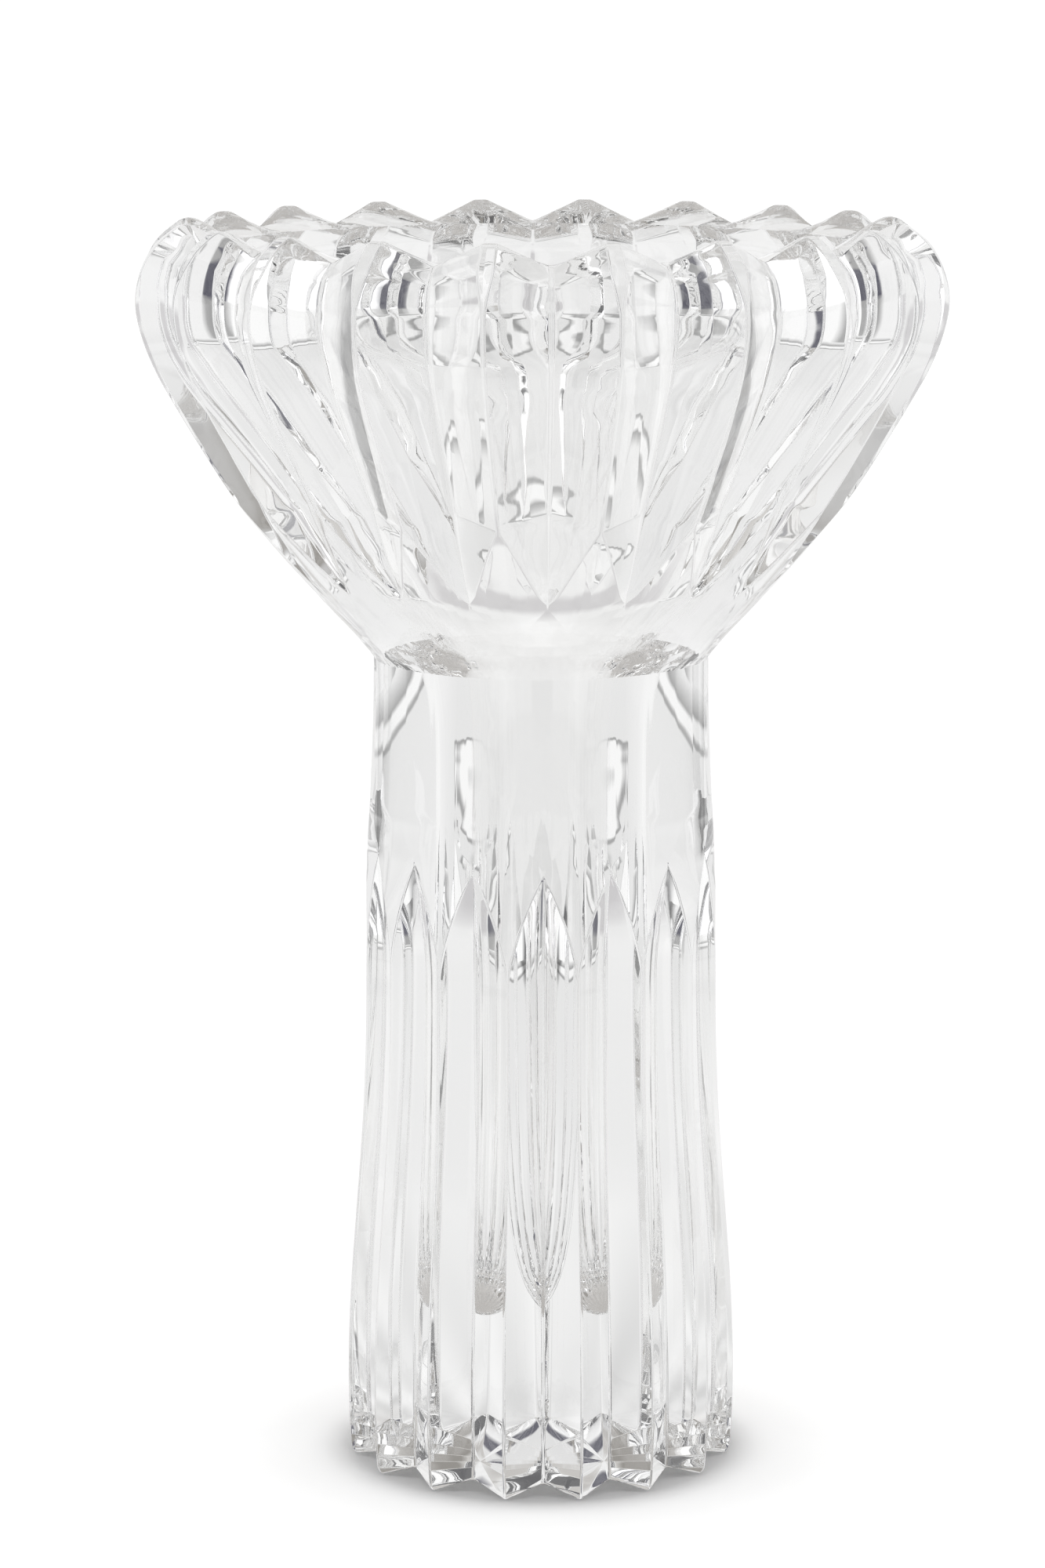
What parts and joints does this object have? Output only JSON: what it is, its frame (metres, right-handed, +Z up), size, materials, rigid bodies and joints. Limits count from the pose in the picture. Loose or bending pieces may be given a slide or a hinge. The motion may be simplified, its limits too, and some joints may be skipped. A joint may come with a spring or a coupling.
{
  "type": "cut crystal vase",
  "caption": "Tall cut crystal vase: a fluted column with a heavy solid foot, bonded to a wide flared head with mitre cuts and a rolled zigzag rim.",
  "frame": {"origin": "centre of the flat base, on the surface the vase stands on", "axes": "+Z up along the axis of both pieces; -Y faces the viewer, with the middle of a column cut on it"},
  "size_m": [0.1948, 0.1948, 0.305],
  "materials": {
    "crystal_head": "polished clear lead crystal",
    "crystal_column": "polished clear lead crystal"
  },
  "bodies": {
    "root": {"head": "crystal_head", "column": "crystal_column"}
  },
  "joints": []
}
